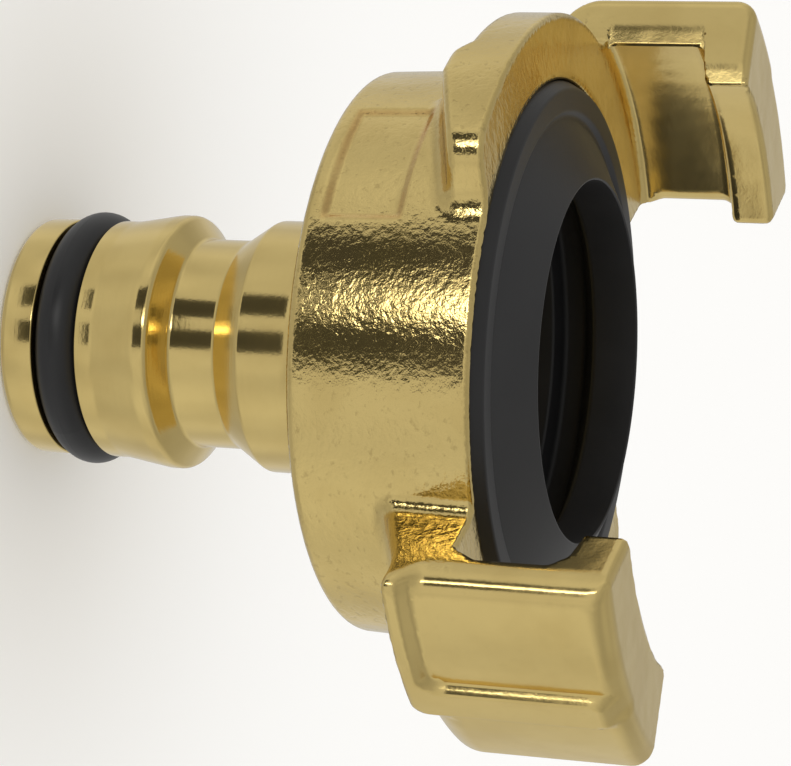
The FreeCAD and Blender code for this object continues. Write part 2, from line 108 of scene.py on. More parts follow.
# Edges round a claw's inner side, left and right as seen from the axis: soft in the middle and on the
# right, crisp with a flat on the left
INNER_ROUND = 0.45
LEFT_ROUND = 0.08
LEFT_BEVEL_ANGLE = math.radians(124.5)
LEFT_BEVEL_DEPTH = 0.32
LEFT_BEVEL_START = FACE + 0.1
FAR_INSIDE = -1
RIGHT_ROUND = 1.3
RIGHT_ROUND_END = HOOK_BACK - 1.0
ROUND_FROM, ROUND_TO = 4.0, 6.3
EDGE_FROM, EDGE_TO = FACE + 0.3, FACE + 1.5

# Raised rims round the panel on each claw's outer face
RIM_BACK = 32.65
RIM_BACK_ROUND = 0.3
RIM_HEEL_ROUND = 1.2
SHORT_RIM_FRONT = 33.9
SHORT_RIM_SOFTNESS = 1.7
RIM_EDGE = CLAW_RADIUS * math.radians(5.1)
RIM_EASE = 1.0
LONG_RIM_LOW = RIM_EDGE - 2.7
LONG_RIM_END = CLAW_TIP - 0.9
RIM_STEP = 0.5
RIM_CORNER = 0.9
RIM_END_ROUND = 0.5
RIM_END_SOFTNESS = 2.6

# Flanges with rest, crest and lead-in on their backs
CREST_ROOT = 31.1
CREST_EDGE = 32.0
REST_DROP = 0.8
REST_END, CREST_START = math.radians(68.5), math.radians(73.5)
LEAD_START = 4.4
LEAD_SLOPE = 0.3
END_ANGLE = math.radians(96.8)
END_LEAN = math.radians(15)
END_ROUND = 1.5
FLANGE_BACK_ROUND = 0.5
FLANGE_BLEND = 1.1

# Sunk field on the body's side, opposite to Y
MARK_LOW, MARK_HIGH = 26.1, 30.25
MARK_HALF_WIDTH = 4.1
MARK_DEPTH = 0.26
MARK_EDGE = 0.65

# Seat of the seal and funnel below it. The nipple's own wall lines the funnel and the bore, so the
# head is cut a little wider there.
FOOT_RADIUS = 16.3
COLLAR_RADIUS = 18.05
COLLAR_SEAT = FACE - 2.2
SEAT_ROUND = 0.3
FUNNEL_RADIUS = 12.4
FUNNEL_ROUND = 0.2
FUNNEL_START = 25.8
FUNNEL_LENGTH = math.hypot(FUNNEL_RADIUS - BORE_RADIUS, FOOT_SEAT - FUNNEL_START)
FUNNEL_RISE = (FOOT_SEAT - FUNNEL_START) / FUNNEL_LENGTH
FUNNEL_RUN = (FUNNEL_RADIUS - BORE_RADIUS) / FUNNEL_LENGTH
FUNNEL_LINING = 0.5
LINING_RADIUS = 14.2
LINING_BACK = BODY_BACK + 0.5
HEAD_BORE_RADIUS = 7.5

# Turned nipple, from its nose up to the body's back
NIPPLE_RADIUS = 8.0
NOSE_ROUND = 0.55
BORE_CHAMFER = 0.5
BORE_CHAMFER_ROUND = 0.1
GROOVE_RADIUS = 5.52
GROOVE_ROOM = 0.04
GROOVE_EDGE_ROUND = 0.12
GROOVE_FLOOR_ROUND = 0.2
RIDGE_RADIUS = 8.53
RAMP_START, RAMP_END, RIDGE_END = 6.7, 9.85, 10.75
RAMP_ROUND = 2.0
RIDGE_ROUND = 0.6
CATCH_RADIUS = 6.98
CATCH_START, CATCH_END = 11.8, 14.95
CATCH_START_ROUND = 0.4
CATCH_END_ROUND = 0.5
LAND_START = 17.1
LAND_ROUND = 0.5
ROOT_FILLET = 4.2
ROOT_REACH = LAND_RADIUS + ROOT_FILLET

# Face seal
SEAL_FOOT_RADIUS = 16.25
SEAL_HEEL_RADIUS = 13.2
SEAL_HEEL_TOP = FOOT_SEAT + 2.3
SEAL_WAIST_RADIUS = 14.3
SEAL_WAIST_START, SEAL_WAIST_END = FACE - 3.6, FACE - 2.1
SEAL_FOOT_ROUND = 0.3
SEAL_WAIST_ROUND = 0.5
SHOULDER = FACE - 0.25
SHOULDER_ROUND = 0.2
BEAD_TOP = FACE + 0.6
BEAD_OUTER, BEAD_INNER = SEAL_RADIUS - 0.5, SEAL_RADIUS - 1.9
BEAD_OUTER_ROUND = 0.3
BEAD_INNER_ROUND = 0.4
CONE_RADIUS = SEAL_RADIUS - 2.3
CONE_START = FACE + 0.25
CONE_START_ROUND = 0.3
LIP_RADIUS = 11.7
LIP_LENGTH = 3.2
LIP_ROUND = 0.12

# Meshing
GRID_STEP = 0.3
GRID_MARGIN = 1.0
SURFACE_PULLS = 3
SLOPE_PARTS = 20
LEAST_STEEPNESS = 0.25
CELL_CORNERS = ((0, 0), (1, 0), (1, 1), (0, 1))
TURNED_SIDES = 160
CORNER_STEPS = 5
SMOOTH_ANGLE = math.radians(40)


def joined(first, second, fillet):
    """Distance to two shapes together, with a fillet in the corner between them."""
    inner = np.hypot(np.maximum(fillet - first, 0), np.maximum(fillet - second, 0))
    return np.maximum(fillet, np.minimum(first, second)) - inner


def shared(first, second, rounding):
    """Distance to what two shapes share, with its edge rounded."""
    outer = np.hypot(np.maximum(rounding + first, 0), np.maximum(rounding + second, 0))
    return np.minimum(-rounding, np.maximum(first, second)) + outer


def eased(value, low, high):
    """0 below low, 1 above high and a smooth step between them."""
    share = np.clip((value - low) / (high - low), 0, 1)
    return share * share * (3 - 2 * share)


def raised_share(z, along):
    """1 on a claw's raised rims and 0 on the panel and the plain part beside them."""
    rims = joined((z - SHORT_RIM_FRONT) / SHORT_RIM_SOFTNESS, LONG_RIM_LOW - along, RIM_CORNER)
    rims = shared(rims, along - RIM_EDGE, RIM_STEP)
    rims = shared(rims, (z - LONG_RIM_END) / RIM_END_SOFTNESS, RIM_END_ROUND)
    return 1 - eased(rims, -RIM_STEP / 2, RIM_STEP / 2)


def claw_back_distance(z, radius, along):
    """Distance to a claw's sloped back, with the rims' own back standing out behind it."""
    slope = (CLAW_BACK - CLAW_ROOT) / (CLAW_RADIUS - BACK_RADIUS)
    back = (CLAW_ROOT + slope * (radius - BACK_RADIUS) - z) * math.cos(math.atan(slope))
    rim_back = shared(RIM_BACK - z, along - RIM_EDGE, RIM_HEEL_ROUND)
    return joined(back, rim_back, RIM_BACK_ROUND)


def outer_bevel_distance(x, y, z):
    """Distance to the crowned bevel on a claw's right outer edge, which fades out at the claw's back."""
    corner_x, corner_y = CLAW_RADIUS * math.cos(HALF_ANGLE), -CLAW_RADIUS * math.sin(HALF_ANGLE)
    bevel = (x - corner_x) * math.cos(BEVEL_ANGLE) + (y - corner_y) * math.sin(BEVEL_ANGLE)
    bevel = bevel + BEVEL_DEPTH * eased(z, BEVEL_FROM, BEVEL_TO)
    beside = (y - corner_y) * math.cos(BEVEL_ANGLE) - (x - corner_x) * math.sin(BEVEL_ANGLE)
    return bevel + np.minimum(np.abs(beside), BEVEL_REACH) ** 2 / (2 * BEVEL_BULGE)


def claw_distance(x, y, z, radius, angle):
    """Distance to one claw's block with its rims, before the mouth of the hook is cut."""
    along = CLAW_RADIUS * angle
    plain = PANEL_RADIUS + (CLAW_RADIUS - PANEL_RADIUS) * eased(along, RIM_EDGE - RIM_EASE, RIM_EDGE)
    outside = radius - plain - (RIM_RADIUS - plain) * raised_share(z, along)
    beyond = eased(along, RIM_EDGE, RIM_EDGE + RIM_EASE)
    back_round = RIM_BACK_ROUND + (CLAW_BACK_ROUND - RIM_BACK_ROUND) * beyond
    side = np.abs(y) * math.cos(HALF_ANGLE) - x * math.sin(HALF_ANGLE)
    block = shared(outside, z - CLAW_TIP, TIP_ROUND)
    block = shared(block, claw_back_distance(z, radius, along), back_round)
    block = shared(block, outer_bevel_distance(x, y, z), BEVEL_ROUND)
    return shared(block, side, SIDE_ROUND)


def flange_distance(x, y, z, radius, angle):
    """Distance to one flange, open at its front where the coupling face is cut later."""
    slope = (CREST_EDGE - CREST_ROOT) / (FLANGE_RADIUS - BACK_RADIUS)
    back_height = CREST_ROOT + slope * (radius - BACK_RADIUS)
    back_height = back_height + REST_DROP * (1 - eased(angle, REST_END, CREST_START))
    back_height = back_height + LEAD_SLOPE * np.maximum(LEAD_START - x, 0)
    end_x = FLANGE_RADIUS * math.cos(END_ANGLE)
    end_y = FLANGE_RADIUS * math.sin(END_ANGLE)
    end = (end_x - math.tan(END_LEAN) * (end_y - y) - x) * math.cos(END_LEAN)
    plan = shared(radius - FLANGE_RADIUS, np.maximum(end, -y), END_ROUND)
    return shared(plan, back_height - z, FLANGE_BACK_ROUND)


def round_body_distance(x, y, z, radius):
    """Distance to the tapered body with its sunk field, open at its front."""
    taper = (FACE_RADIUS - BACK_RADIUS) / (FACE - BODY_BACK)
    side = radius - BACK_RADIUS - taper * (z - BODY_BACK)
    across = 1 - eased(np.abs(x), MARK_HALF_WIDTH, MARK_HALF_WIDTH + MARK_EDGE)
    upward = eased(z, MARK_LOW - MARK_EDGE, MARK_LOW) - eased(z, MARK_HIGH, MARK_HIGH + MARK_EDGE)
    side = side + MARK_DEPTH * across * upward * (y < 0)
    return shared(side, BODY_BACK - z, BACK_ROUND)


def mouth_distance(z, radius):
    """Distance to the solid round the mouth: the coupling face, the webs and the hooks' undersides."""
    underside = HOOK_BACK + HOOK_RISE * (WEB_RADIUS - radius) / (WEB_RADIUS - HOOK_RADIUS)
    hook = shared(HOOK_RADIUS - radius, underside - z, HOOK_ROUND)
    mouth = joined(WEB_RADIUS - radius, hook, HOOK_FILLET)
    return joined(mouth, z - FACE, WEB_FILLET)


def mouth_edge_round(x, y, z):
    """Rounding of the edges round the mouth, which changes from the face to a claw's two sides."""
    left = eased(y * np.sign(x), ROUND_FROM, ROUND_TO)
    right = eased(-y * np.sign(x), ROUND_FROM, ROUND_TO) * eased(-z, -HOOK_BACK, -RIGHT_ROUND_END)
    on_claw = INNER_ROUND + (LEFT_ROUND - INNER_ROUND) * left + (RIGHT_ROUND - INNER_ROUND) * right
    return FACE_ROUND + (on_claw - FACE_ROUND) * eased(z, EDGE_FROM, EDGE_TO)


def left_bevel_distance(x, y, z):
    """Distance to the flat on the left inner edge of the claw along X, and far inside elsewhere."""
    inner = np.where(z < HOOK_BACK, WEB_RADIUS, HOOK_RADIUS)
    from_x = x - inner * math.cos(HALF_ANGLE)
    from_y = y - inner * math.sin(HALF_ANGLE)
    flat = from_x * math.cos(LEFT_BEVEL_ANGLE) + from_y * math.sin(LEFT_BEVEL_ANGLE) + LEFT_BEVEL_DEPTH
    return np.where((x > 0) & (y > 0) & (z > LEFT_BEVEL_START), flat, FAR_INSIDE)


def hollow_distance(z, radius):
    """Distance to the open inside: seats of the seal's collar and foot, funnel and bore."""
    funnel = (radius - FUNNEL_RADIUS) * FUNNEL_RISE - (z - FOOT_SEAT) * FUNNEL_RUN - FUNNEL_LINING
    funnel = np.maximum(funnel, z - FOOT_SEAT - SEAT_ROUND)
    foot = np.maximum(radius - FOOT_RADIUS, FOOT_SEAT - z)
    collar = np.maximum(radius - COLLAR_RADIUS, COLLAR_SEAT - z)
    return np.minimum(np.minimum(funnel, foot), np.minimum(collar, radius - HEAD_BORE_RADIUS))


def head_distance(x, y, z):
    """Signed distance to the forged head, solid inside: body, claws and flanges."""
    radius = np.hypot(x, y)
    above_face = z - (FACE + SIDE_ROUND)
    shape = np.maximum(round_body_distance(x, y, z, radius), above_face)
    for sign in HALF_TURNS:
        angle = np.arctan2(sign * y, sign * x)
        flange = flange_distance(sign * x, sign * y, z, radius, angle)
        shape = joined(shape, np.maximum(flange, above_face), FLANGE_BLEND)
        claw = claw_distance(sign * x, sign * y, z, radius, angle)
        shape = joined(shape, claw, ROOT_BLEND)
    shape = shared(shape, mouth_distance(z, radius), mouth_edge_round(x, y, z))
    for sign in HALF_TURNS:
        shape = shared(shape, left_bevel_distance(sign * x, sign * y, z), LEFT_ROUND)
    return shared(shape, -hollow_distance(z, radius), SEAT_ROUND)


def cut_edges(field, axis):
    """Grid edges along one axis that the surface cuts, their start values and how far along it cuts."""
    first = np.take(field, range(field.shape[axis] - 1), axis)
    second = np.take(field, range(1, field.shape[axis]), axis)
    edges = np.argwhere((first < 0) != (second < 0))
    for other in ((axis + 1) % 3, (axis + 2) % 3):
        within = (edges[:, other] > 0) & (edges[:, other] < field.shape[other] - 1)
        edges = edges[within]
    start = first[tuple(edges.T)]
    finish = second[tuple(edges.T)]
    return edges, start, start / (start - finish)


def surface_quads(field):
    """Vertices in steps of the grid, one to a cell that the surface passes, and the quads between them."""
    cells = tuple(count - 1 for count in field.shape)
    keys, points, quads = [], [], []
    for axis in range(3):
        edges, start, share = cut_edges(field, axis)
        spot = edges.astype(float)
        spot[:, axis] += share
        corners = []
        for back_one, back_two in CELL_CORNERS:
            cell = edges.copy()
            cell[:, (axis + 1) % 3] -= back_one
            cell[:, (axis + 2) % 3] -= back_two
            corners.append(np.ravel_multi_index(cell.T, cells))
            points.append(spot)
        keys += corners
        ring = np.stack(corners, 1)
        quads.append(np.where((start < 0)[:, None], ring, ring[:, ::-1]))
    keys, index = np.unique(np.concatenate(keys), return_inverse=True)
    points = np.concatenate(points)
    count = np.bincount(index)
    vertices = np.stack([np.bincount(index, points[:, axis]) / count for axis in range(3)], 1)
    return vertices, np.searchsorted(keys, np.concatenate(quads))


def slope_of(distance, points, reach):
    """Slope of a distance at each point, measured across it by a reach to either side."""
    slopes = []
    for side in reach * np.eye(3):
        rise = distance(*(points + side).T) - distance(*(points - side).T)
        slopes.append(rise / (2 * reach))
    return np.stack(slopes, 1)


def surface_of(distance, low, high, step):
    """Vertices, quads and normals of the surface where a distance is zero."""
    counts = [math.ceil((end - start) / step) + 1 for start, end in zip(low, high)]
    axes = [start + step * np.arange(count) for start, count in zip(low, counts)]
    x, y, z = np.meshgrid(*axes, indexing="ij", sparse=True)
    vertices, faces = surface_quads(distance(x, y, z).astype(np.float32))
    vertices = vertices * step + np.array(low)
    for _ in range(SURFACE_PULLS):
        value = distance(*vertices.T)
        slope = slope_of(distance, vertices, step / SLOPE_PARTS)
        steepness = np.maximum((slope ** 2).sum(1), LEAST_STEEPNESS)
        vertices -= (np.clip(value, -step, step) / steepness)[:, None] * slope
    return vertices, faces, slope / np.sqrt(steepness)[:, None]


def rounded_profile(corners):
    """Points of a profile through (radius, height, rounding) corners, with arcs at rounded ones."""
    points = []
    for index, (radius, height, rounding) in enumerate(corners):
        here = Vector((radius, height))
        if not rounding:
            points.append(here)
            continue
        before = (Vector(corners[index - 1][:2]) - here).normalized()
        after = (Vector(corners[(index + 1) % len(corners)][:2]) - here).normalized()
        half = before.angle(after) / 2
        start = here + before * rounding / math.tan(half)
        finish = here + after * rounding / math.tan(half)
        centre = here + (before + after).normalized() * rounding / math.sin(half)
        for step in range(CORNER_STEPS + 1):
            spread = (start - centre).lerp(finish - centre, step / CORNER_STEPS)
            points.append(centre + spread.normalized() * rounding)
    return points


def turned_mesh(name, corners):
    """A closed ring turned about Z from its profile, with smooth faces and its sharp edges kept."""
    profile = rounded_profile(corners)
    vertices = []
    for point in profile:
        for side in range(TURNED_SIDES):
            turn = 2 * math.pi * side / TURNED_SIDES
            x, y = point.x * math.cos(turn), point.x * math.sin(turn)
            vertices.append((x * MM, y * MM, point.y * MM))
    faces = []
    for level in range(len(profile)):
        lower = level * TURNED_SIDES
        upper = (level + 1) % len(profile) * TURNED_SIDES
        for side in range(TURNED_SIDES):
            following = (side + 1) % TURNED_SIDES
            faces.append((lower + side, lower + following, upper + following, upper + side))
    mesh = bpy.data.meshes.new(name)
    mesh.from_pydata(vertices, [], faces)
    mesh.validate()
    mesh.shade_smooth()
    mesh.set_sharp_from_angle(angle=SMOOTH_ANGLE)
    return mesh


def placed(name, mesh):
    item = bpy.data.objects.new(name, mesh)
    bpy.context.scene.collection.objects.link(item)
    return item


def head_part():
    """The forged head's mesh and the exact normal at each corner of its faces."""
    low = (-RIM_RADIUS - GRID_MARGIN, -FLANGE_RADIUS - GRID_MARGIN, BODY_BACK - GRID_MARGIN)
    high = (RIM_RADIUS + GRID_MARGIN, FLANGE_RADIUS + GRID_MARGIN, CLAW_TIP + GRID_MARGIN)
    vertices, faces, normals = surface_of(head_distance, low, high, GRID_STEP)
    mesh = bpy.data.meshes.new("head")
    mesh.from_pydata((vertices * MM).tolist(), [], faces.tolist())
    mesh.shade_smooth()
    corners = np.empty(len(mesh.loops), dtype=np.int32)
    mesh.loops.foreach_get("vertex_index", corners)
    return mesh, normals[corners].tolist()


def nipple_part():
    """The turned nipple's mesh with the bore and funnel, and the normal at each corner of its faces."""
    mesh = turned_mesh("nipple", [
        (BORE_RADIUS + BORE_CHAMFER, 0, BORE_CHAMFER_ROUND),
        (NIPPLE_RADIUS, 0, NOSE_ROUND),
        (NIPPLE_RADIUS, RING_LOW - GROOVE_ROOM, GROOVE_EDGE_ROUND),
        (GROOVE_RADIUS, RING_LOW - GROOVE_ROOM, GROOVE_FLOOR_ROUND),
        (GROOVE_RADIUS, RING_HIGH + GROOVE_ROOM, GROOVE_FLOOR_ROUND),
        (NIPPLE_RADIUS, RING_HIGH + GROOVE_ROOM, GROOVE_EDGE_ROUND),
        (NIPPLE_RADIUS, RAMP_START, RAMP_ROUND),
        (RIDGE_RADIUS, RAMP_END, RAMP_ROUND),
        (RIDGE_RADIUS, RIDGE_END, RIDGE_ROUND),
        (CATCH_RADIUS, CATCH_START, CATCH_START_ROUND),
        (CATCH_RADIUS, CATCH_END, CATCH_END_ROUND),
        (LAND_RADIUS, LAND_START, LAND_ROUND),
        (LAND_RADIUS, BODY_BACK, ROOT_FILLET),
        (ROOT_REACH, BODY_BACK, 0),
        (ROOT_REACH, LINING_BACK, 0),
        (LINING_RADIUS, LINING_BACK, 0),
        (LINING_RADIUS, FOOT_SEAT, 0),
        (FUNNEL_RADIUS, FOOT_SEAT, FUNNEL_ROUND),
        (BORE_RADIUS, FUNNEL_START, 0),
        (BORE_RADIUS, BORE_CHAMFER, 0),
    ])
    return mesh, [tuple(corner.vector) for corner in mesh.corner_normals]


def make_body(material):
    """The forged head and the turned nipple, each a closed shell, as one piece."""
    build = bmesh.new()
    all_normals = []
    for part, normals in (head_part(), nipple_part()):
        build.from_mesh(part)
        all_normals += normals
        bpy.data.meshes.remove(part)
    mesh = bpy.data.meshes.new("brass_body")
    build.to_mesh(mesh)
    build.free()
    mesh.normals_split_custom_set(all_normals)
    mesh.materials.append(material)
    body = placed("brass_body", mesh)
    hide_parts("coupling_body")
    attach(body, "root")


def make_seal(material):
    """The profile ring in the coupling face, from its foot round its bead and lip to its waist."""
    mesh = turned_mesh("seal", [
        (SEAL_HEEL_RADIUS, FOOT_SEAT, SEAL_FOOT_ROUND),
        (SEAL_FOOT_RADIUS, FOOT_SEAT, SEAL_FOOT_ROUND),
        (SEAL_FOOT_RADIUS, COLLAR_SEAT, 0),
        (SEAL_RADIUS, COLLAR_SEAT, 0),
        (SEAL_RADIUS, SHOULDER, SHOULDER_ROUND),
        (BEAD_OUTER, BEAD_TOP, BEAD_OUTER_ROUND),
        (BEAD_INNER, BEAD_TOP, BEAD_INNER_ROUND),
        (CONE_RADIUS, CONE_START, CONE_START_ROUND),
        (LIP_RADIUS, SEAL_TOP, LIP_ROUND),
        (LIP_RADIUS, SEAL_TOP - LIP_LENGTH, SEAL_WAIST_ROUND),
        (SEAL_WAIST_RADIUS, SEAL_WAIST_END, SEAL_WAIST_ROUND),
        (SEAL_WAIST_RADIUS, SEAL_WAIST_START, SEAL_WAIST_ROUND),
        (SEAL_HEEL_RADIUS, SEAL_HEEL_TOP, SEAL_FOOT_ROUND),
    ])
    mesh.materials.append(material)
    seal = placed("moulded_seal", mesh)
    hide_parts("face_seal")
    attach(seal, "root")


# Camera of the photograph, fitted to the part's own outline: place, aim, roll and lens
CAMERA_FROM = Vector((120.172, -142.604, 89.859)) * MM
CAMERA_AT = Vector((1.129, 1.807, 24.949)) * MM
CAMERA_ROLL = math.radians(93.035)
CAMERA_LENS = 136.49
SENSOR_WIDTH = 36.0
NEAR_CLIP, FAR_CLIP = 10.0, 10000.0


def make_camera():
    data = bpy.data.cameras.new("camera")
    data.sensor_width = SENSOR_WIDTH
    data.lens = CAMERA_LENS
    data.clip_start = NEAR_CLIP * MM
    data.clip_end = FAR_CLIP * MM
    camera = placed("camera", data)
    camera.rotation_mode = "QUATERNION"
    camera.location = CAMERA_FROM
    aim = (CAMERA_AT - CAMERA_FROM).to_track_quat("-Z", "Y")
    camera.rotation_quaternion = aim @ Quaternion((0, 0, 1), CAMERA_ROLL)
    bpy.context.scene.camera = camera


class Nodes:
    """A material's or world's node tree, with short calls to add and join nodes."""

    def __init__(self, owner):
        owner.use_nodes = True
        self.tree = owner.node_tree
        self.tree.nodes.clear()

    def add(self, kind, inputs=None, **settings):
        node = self.tree.nodes.new(kind)
        for name, value in settings.items():
            setattr(node, name, value)
        for name, value in (inputs or {}).items():
            if isinstance(value, bpy.types.NodeSocket):
                self.tree.links.new(value, node.inputs[name])
            else:
                node.inputs[name].default_value = value
        return node

    def place(self):
        """Each point's own place in metres."""
        return self.add("ShaderNodeTexCoord").outputs["Object"]

    def axes(self, vector):
        return self.add("ShaderNodeSeparateXYZ", {"Vector": vector}).outputs

    def math(self, operation, first, second=0.0):
        return self.add("ShaderNodeMath", {0: first, 1: second}, operation=operation).outputs[0]

    def plus(self, first, second):
        return self.math("ADD", first, second)

    def minus(self, first, second):
        return self.math("SUBTRACT", first, second)

    def times(self, first, second):
        return self.math("MULTIPLY", first, second)

    def between(self, value, low, high):
        """0 at low, 1 at high and a smooth step between them."""
        node = self.add("ShaderNodeMapRange", {"Value": value, "From Min": low, "From Max": high})
        node.interpolation_type = "SMOOTHSTEP"
        return node.outputs["Result"]

    def between_mm(self, value, low, high):
        """The same smooth step for a value in metres, from low to high in millimetres."""
        return self.between(value, low * MM, high * MM)

    def blend(self, share, first, second):
        """The first number where share is 0 and the second where it is 1."""
        node = self.add("ShaderNodeMix", {"Factor": share, "A": first, "B": second}, data_type="FLOAT")
        return node.outputs["Result"]

    def tint(self, share, first, second):
        """The first colour where share is 0 and the second where it is 1."""
        node = self.add("ShaderNodeMix", {"Factor": share, "A": first, "B": second}, data_type="RGBA")
        return node.outputs["Result"]

    def noise(self, place, scale, detail, roughness=0.5):
        """Noise from 0 to 1 with so many waves to the unit of place."""
        inputs = {"Vector": place, "Scale": scale, "Detail": detail, "Roughness": roughness}
        return self.add("ShaderNodeTexNoise", inputs).outputs["Fac"]

    def glow(self, colour, strength):
        """Ends the tree in light of its own."""
        light = self.add("ShaderNodeEmission", {"Color": colour, "Strength": strength})
        self.add("ShaderNodeOutputMaterial", {"Surface": light.outputs["Emission"]})

    def surface(self, inputs):
        """Ends the tree in a surface with these inputs."""
        shader = self.add("ShaderNodeBsdfPrincipled", inputs)
        self.add("ShaderNodeOutputMaterial", {"Surface": shader.outputs["BSDF"]})


# Studio: a white tent that is darker overhead and near the floor, and upright panels in front of the
# camera's side: a bright one with a dull one beside it, between two dark ones. Only reflections show
# them. Each panel is given by the degrees round the body at which the photograph shows its edges.
TENT_COLOUR = (1.0, 0.99, 0.965, 1)
TENT_LEVEL = 0.62
TENT_TOP, TENT_FOOT = 0.40, 0.46
TENT_TURNS = (-0.1, 0.5)
TENT_FALLS = (-0.85, -0.5)
FOLD_NOISE = (2.2, 1.0)
FOLD_LOW, FOLD_SPAN = 0.72, 0.56
ROOM_LEVEL = 1.08
PANEL_CIRCLE = 120.0
PANEL_STEPS = 12
VIEW_ANGLE = math.radians(-50.5)
DARK_LEVEL = 0.055
DULL_LEVEL = 1.45
BRIGHT_LEVEL = 5.2
DARK_PANELS = ((-75.0, -64.5), (-57.0, -46.5))
DULL_PANEL = (-64.5, -60.8)
BRIGHT_PANEL = (-60.8, -57.0)
DARK_HEIGHTS = (-54.0, 15.0)
BRIGHT_HEIGHTS = (-26.0, 45.0)
BRIGHT_FADE = (-16.0, 2.0)
FLOOR_HALF_WIDTH = 4000.0
FLOOR_COLOUR = (0.93, 0.93, 0.93, 1)
FLOOR_ROUGHNESS = 0.9


def panel_place(body_angle):
    """Angle on the panels' circle that the body's side reflects to the camera at one of its own angles."""
    place = Vector((math.cos(body_angle), math.sin(body_angle))) * FACE_RADIUS
    turn = 2 * body_angle - VIEW_ANGLE
    ray = Vector((math.cos(turn), math.sin(turn)))
    along = place.dot(ray)
    reach = math.sqrt(along ** 2 + PANEL_CIRCLE ** 2 - FACE_RADIUS ** 2) - along
    hit = place + ray * reach
    return math.atan2(hit.y, hit.x)


def panel_mesh(name, body_angles, heights):
    """An upright strip of the panels' circle."""
    low, high = (panel_place(math.radians(angle)) for angle in body_angles)
    vertices, faces = [], []
    for step in range(PANEL_STEPS + 1):
        turn = low + (high - low) * step / PANEL_STEPS
        x, y = PANEL_CIRCLE * math.cos(turn), PANEL_CIRCLE * math.sin(turn)
        vertices += [(x * MM, y * MM, height * MM) for height in heights]
    for corner in range(0, 2 * PANEL_STEPS, 2):
        faces.append((corner, corner + 1, corner + 3, corner + 2))
    mesh = bpy.data.meshes.new(name)
    mesh.from_pydata(vertices, [], faces)
    return mesh


def make_panel(name, body_angles, heights, level, fade=None):
    """A panel of one brightness, or one that fades out downwards between two heights."""
    mesh = panel_mesh(name, body_angles, heights)
    panel = placed(name, mesh)
    panel.visible_camera = False
    panel.visible_diffuse = False
    panel.visible_shadow = False
    panel.visible_transmission = False
    material = bpy.data.materials.new(name)
    nodes = Nodes(material)
    strength = level
    if fade:
        height = nodes.axes(nodes.place())["Z"]
        strength = nodes.times(nodes.between_mm(height, *fade), level)
    nodes.glow(TENT_COLOUR, strength)
    mesh.materials.append(material)


def make_tent():
    """Even white light, which reflections see as a tent with soft folds."""
    world = bpy.data.worlds.new("studio")
    bpy.context.scene.world = world
    nodes = Nodes(world)
    way = nodes.add("ShaderNodeTexCoord").outputs["Generated"]
    rise = nodes.axes(way)["Z"]
    tent = nodes.blend(nodes.between(rise, *TENT_TURNS), TENT_LEVEL, TENT_TOP)
    tent = nodes.blend(nodes.between(rise, *TENT_FALLS), TENT_FOOT, tent)
    folds = nodes.times(nodes.noise(way, *FOLD_NOISE), FOLD_SPAN)
    tent = nodes.times(tent, nodes.plus(FOLD_LOW, folds))
    reflected = nodes.add("ShaderNodeLightPath").outputs["Is Glossy Ray"]
    level = nodes.blend(reflected, ROOM_LEVEL, tent)
    background = nodes.add("ShaderNodeBackground", {"Color": TENT_COLOUR, "Strength": level})
    nodes.add("ShaderNodeOutputWorld", {"Surface": background.outputs["Background"]})


def make_studio():
    make_tent()
    for index, angles in enumerate(DARK_PANELS):
        make_panel("dark_panel_%d" % index, angles, DARK_HEIGHTS, DARK_LEVEL)
    make_panel("dull_panel", DULL_PANEL, BRIGHT_HEIGHTS, DULL_LEVEL, BRIGHT_FADE)
    make_panel("bright_panel", BRIGHT_PANEL, BRIGHT_HEIGHTS, BRIGHT_LEVEL, BRIGHT_FADE)


def make_floor():
    mesh = bpy.data.meshes.new("floor")
    size = FLOOR_HALF_WIDTH * MM
    corners = [(-size, -size, 0), (size, -size, 0), (size, size, 0), (-size, size, 0)]
    mesh.from_pydata(corners, [], [(0, 1, 2, 3)])
    floor = placed("floor", mesh)
    material = bpy.data.materials.new("floor_paint")
    Nodes(material).surface({"Base Color": FLOOR_COLOUR, "Roughness": FLOOR_ROUGHNESS})
    mesh.materials.append(material)
    floor.visible_glossy = False


# Colours of the brass, and the brown used as painted shade along the sunk field's edges
NEW_BRASS = (0.83, 0.64, 0.255, 1)
WORN_BRASS = (0.77, 0.585, 0.225, 1)
PIT_COLOUR = (0.34, 0.25, 0.09, 1)
FIELD_EDGE_SHADE_COLOUR = (0.66, 0.36, 0.12, 1)

# Radii and heights between which one finish of the brass turns into the next, and Y beyond which the sunk
# field's edges get painted shade
SKIN_RADII = (17.9, 18.2)
SKIN_HEIGHTS = (BODY_BACK - 0.1, BODY_BACK + 0.3)
CLAW_RADII = (24.2, 25.2)
CLAW_HEIGHTS = (FACE + 0.05, FACE + 0.5)
FACE_START = (FACE - 0.15, FACE - 0.05)
FACE_END = (FACE + 0.3, FACE + 0.1)
FACE_EDGE = (FACE_RADIUS - 0.1, FACE_RADIUS - 0.25)
TURNED_END = (BODY_BACK - 0.2, BODY_BACK + 0.1)
FIELD_EDGE_SHADE_SIDE = (-16.0, -17.0)

# Noise on the brass as waves to the metre, detail and roughness, and each kind's height in the bump
PEEL_NOISE = (2300.0, 3.0, 0.6)
WAVE_NOISE = (420.0, 1.0)
GRAIN_NOISE = (5200.0, 1.0)
TURNING_NOISE = (3600.0, 2.0)
TARNISH_NOISE = (260.0, 4.0)
PEEL_TURN = (0.0, 0.5, 0.6)
PEEL_STRETCH = (1.0, 0.55, 1.0)
PEEL_HEIGHT, WAVE_HEIGHT, GRAIN_HEIGHT = 0.8, 0.8, 0.06
TURNING_HEIGHT, FACING_HEIGHT = 0.08, 0.12
BUMP_HEIGHT = 0.05
